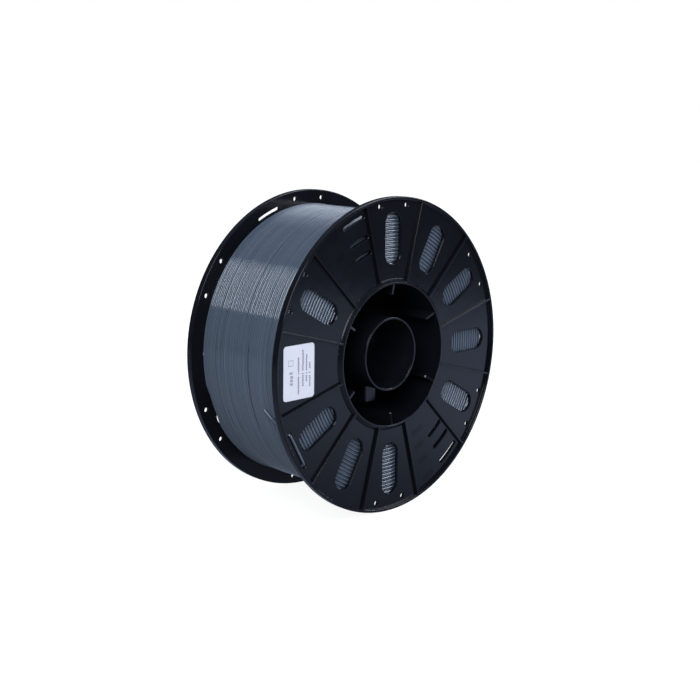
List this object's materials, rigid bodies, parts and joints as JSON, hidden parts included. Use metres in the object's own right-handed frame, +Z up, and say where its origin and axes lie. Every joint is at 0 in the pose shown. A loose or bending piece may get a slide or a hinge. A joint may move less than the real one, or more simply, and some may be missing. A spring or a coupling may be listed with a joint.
{
  "type": "filament spool",
  "caption": "Snap-together plastic spool with windowed flanges and a through bore, wound full of printing filament; the free end parked through two flange holes with a paper label.",
  "frame": {"origin": "centre of the spool: on the bore axis, midway between the two lip faces", "axes": "+Y along the bore axis from the labelled front flange to the rear flange, +Z up with the spool standing on its rims"},
  "size_m": [0.25, 0.105, 0.25],
  "materials": {
    "spool_plastic": "semi-gloss moulded black",
    "filament": "glossy blue-grey extruded strand",
    "label_paper": "matte white"
  },
  "bodies": {
    "front_half_and_coil": {"front_half": "spool_plastic", "front_snap_hooks": "spool_plastic", "filament_coil": "filament", "filament_free_end": "filament", "filament_start_end": "filament", "paper_label": "label_paper"},
    "rear_half": {"rear_half": "spool_plastic", "rear_snap_hooks": "spool_plastic"}
  },
  "joints": [
    {"name": "rear_half_release", "type": "slide", "parent": "front_half_and_coil", "child": "rear_half", "axis": [0, 1, 0], "range_m": [0, 0.066], "deforming": ["front_snap_hooks", "rear_snap_hooks"]}
  ]
}
